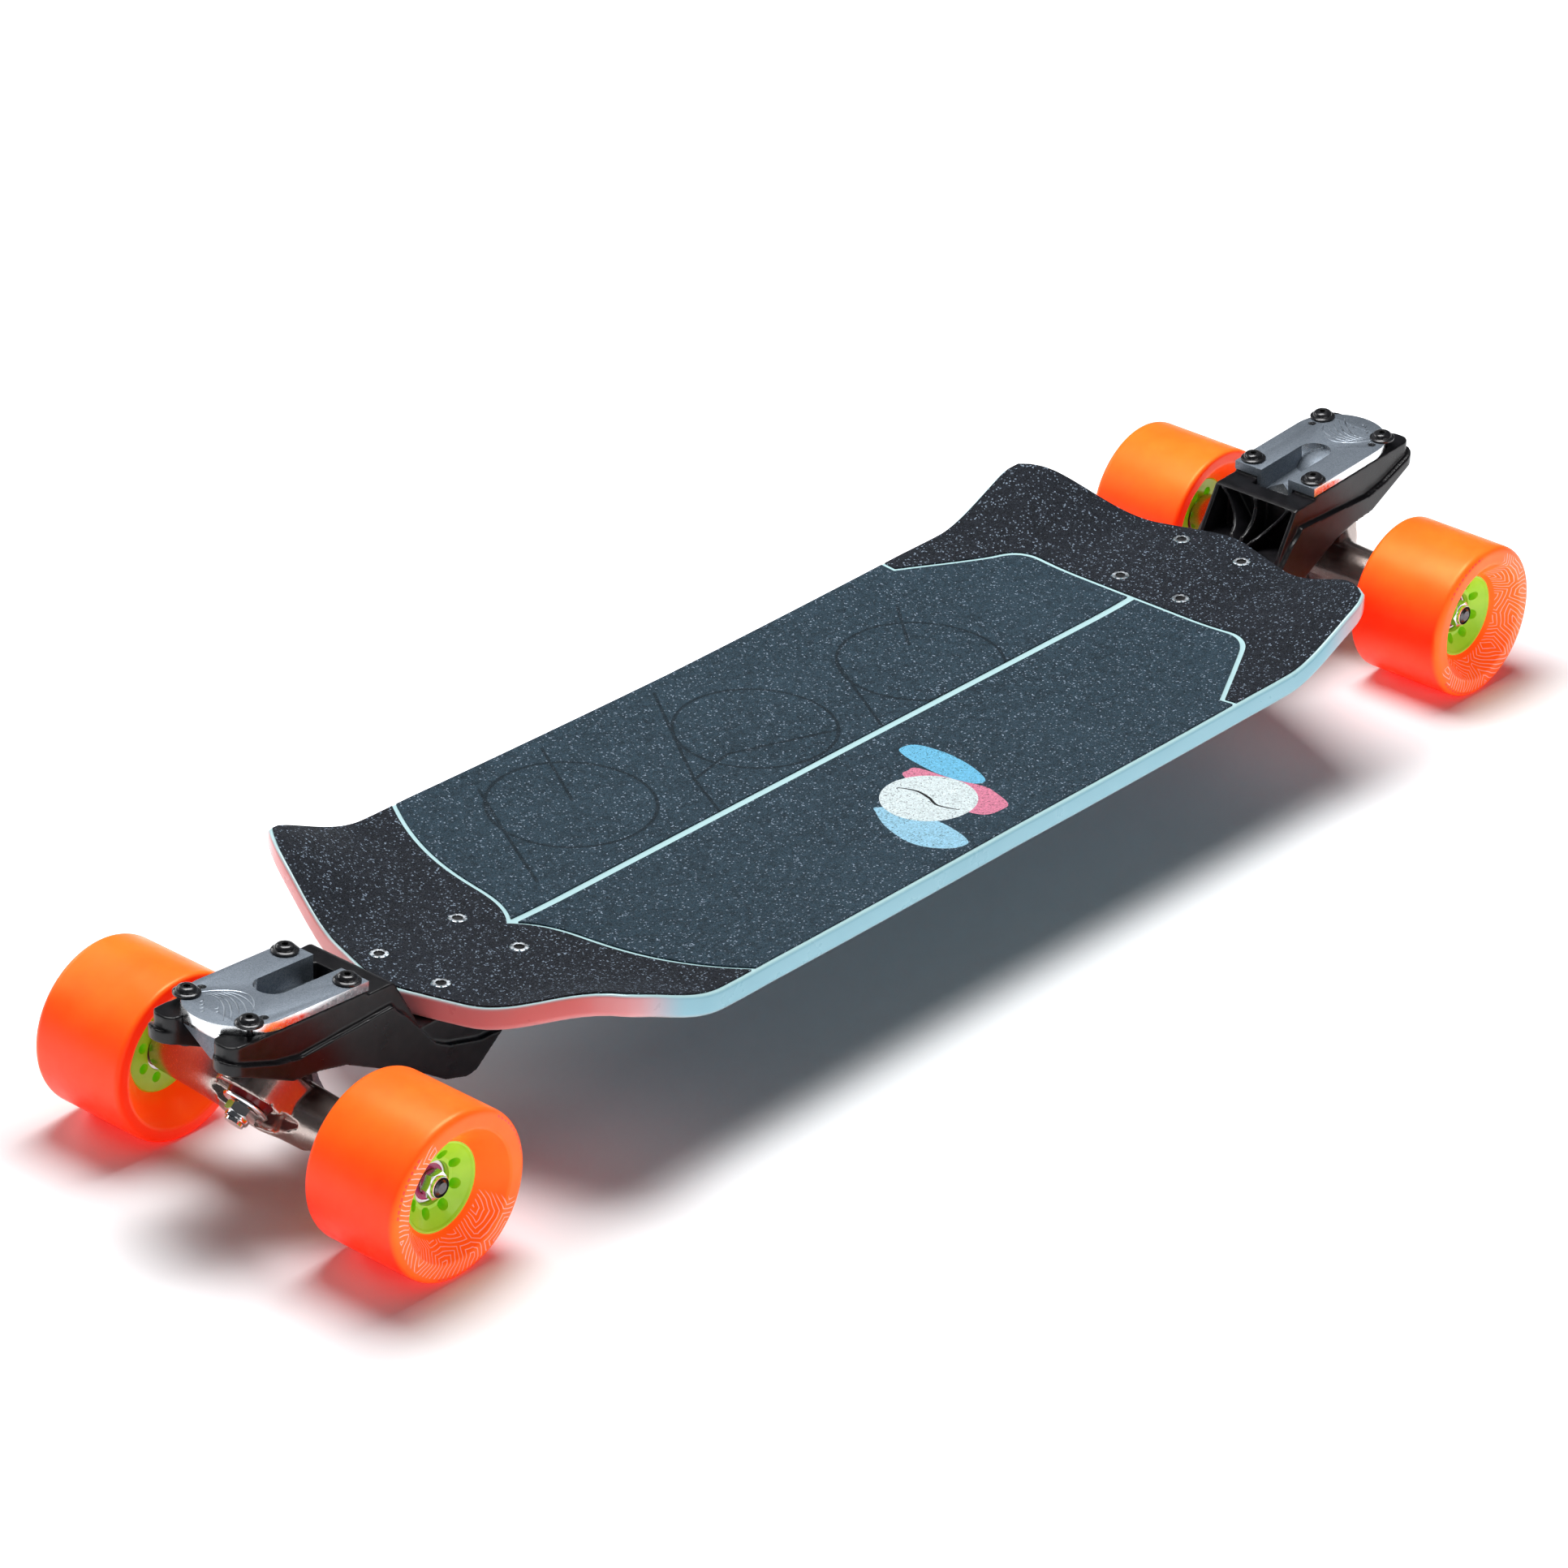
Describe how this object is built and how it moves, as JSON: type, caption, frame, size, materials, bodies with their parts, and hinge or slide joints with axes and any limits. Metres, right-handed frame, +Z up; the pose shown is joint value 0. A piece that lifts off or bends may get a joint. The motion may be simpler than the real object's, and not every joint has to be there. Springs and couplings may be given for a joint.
{
  "type": "longboard skateboard",
  "caption": "Drop-bracket longboard: a concave pressed deck hung between stepped brackets, reverse-kingpin steering trucks and large free-rolling urethane wheels.",
  "frame": {"origin": "centre of the bounding box at the ground", "axes": "+X towards the front along the board, +Y to the left side, +Z up"},
  "size_m": [0.9182, 0.245, 0.1153],
  "materials": {
    "deck_paint": "satin enamel over a wood laminate",
    "grip_black": "sparkly black grit",
    "grip_blue": "blue-grey grit",
    "screw_steel": "satin",
    "bolt_black": "black oxide, glossy",
    "bracket_black": "satin black",
    "plate_aluminium": "blasted, bright bevelled edges",
    "chrome": "polished",
    "bushing_urethane": "glossy cast urethane",
    "cup_urethane": "matte",
    "hanger_metal": "sparkly pewter",
    "axle_steel": "satin",
    "bearing_steel": "ground steel",
    "wheel_urethane": "glossy cast urethane",
    "core_lime": "moulded, semi-gloss",
    "shield_magenta": "glossy"
  },
  "bodies": {
    "root": {"deck": "deck_paint", "grip_front": "grip_black", "grip_rear": "grip_black", "grip_left": "grip_blue", "grip_right": "grip_blue", "deck_screws": "screw_steel", "deck_nuts": "bolt_black", "truck_bolts": "bolt_black", "truck_nuts": "bolt_black", "front_bracket": "bracket_black", "front_baseplate": "plate_aluminium", "front_kingpin": "chrome", "front_kingpin_nut": "chrome", "front_cup_washers": "chrome", "front_inner_bushing": "bushing_urethane", "front_outer_bushing": "bushing_urethane", "front_pivot_cup": "cup_urethane", "rear_bracket": "bracket_black", "rear_baseplate": "plate_aluminium", "rear_kingpin": "chrome", "rear_kingpin_nut": "chrome", "rear_cup_washers": "chrome", "rear_inner_bushing": "bushing_urethane", "rear_outer_bushing": "bushing_urethane", "rear_pivot_cup": "cup_urethane"},
    "front_hanger": {"front_hanger": "hanger_metal", "front_axle": "axle_steel", "front_axle_nuts": "chrome", "front_speed_rings": "bearing_steel", "front_inner_races": "bearing_steel", "front_bearing_spacers": "bearing_steel"},
    "rear_hanger": {"rear_hanger": "hanger_metal", "rear_axle": "axle_steel", "rear_axle_nuts": "chrome", "rear_speed_rings": "bearing_steel", "rear_inner_races": "bearing_steel", "rear_bearing_spacers": "bearing_steel"},
    "front_left_wheel": {"front_left_tyre": "wheel_urethane", "front_left_core": "core_lime", "front_left_outer_races": "bearing_steel", "front_left_shields": "shield_magenta", "front_left_balls": "bearing_steel"},
    "front_right_wheel": {"front_right_tyre": "wheel_urethane", "front_right_core": "core_lime", "front_right_outer_races": "bearing_steel", "front_right_shields": "shield_magenta", "front_right_balls": "bearing_steel"},
    "rear_left_wheel": {"rear_left_tyre": "wheel_urethane", "rear_left_core": "core_lime", "rear_left_outer_races": "bearing_steel", "rear_left_shields": "shield_magenta", "rear_left_balls": "bearing_steel"},
    "rear_right_wheel": {"rear_right_tyre": "wheel_urethane", "rear_right_core": "core_lime", "rear_right_outer_races": "bearing_steel", "rear_right_shields": "shield_magenta", "rear_right_balls": "bearing_steel"}
  },
  "joints": [
    {"name": "front_steer", "type": "hinge", "parent": "root", "child": "front_hanger", "pos_m": [0.40873, 0, 0.06231], "axis": [0.6088, 0, 0.7934], "range_deg": [-15, 15], "stiffness_Nm_per_rad": 40, "deforming": ["front_inner_bushing", "front_outer_bushing"]},
    {"name": "rear_steer", "type": "hinge", "parent": "root", "child": "rear_hanger", "pos_m": [-0.40873, 0, 0.06231], "axis": [-0.6088, 0, 0.7934], "range_deg": [-15, 15], "stiffness_Nm_per_rad": 40, "deforming": ["rear_inner_bushing", "rear_outer_bushing"]},
    {"name": "front_left_spin", "type": "hinge", "parent": "front_hanger", "child": "front_left_wheel", "pos_m": [0.40285, 0.0882, 0.0435], "axis": [0, 1, 0], "continuous": true},
    {"name": "front_right_spin", "type": "hinge", "parent": "front_hanger", "child": "front_right_wheel", "pos_m": [0.40285, -0.0882, 0.0435], "axis": [0, 1, 0], "continuous": true},
    {"name": "rear_left_spin", "type": "hinge", "parent": "rear_hanger", "child": "rear_left_wheel", "pos_m": [-0.40285, 0.0882, 0.0435], "axis": [0, 1, 0], "continuous": true},
    {"name": "rear_right_spin", "type": "hinge", "parent": "rear_hanger", "child": "rear_right_wheel", "pos_m": [-0.40285, -0.0882, 0.0435], "axis": [0, 1, 0], "continuous": true}
  ]
}
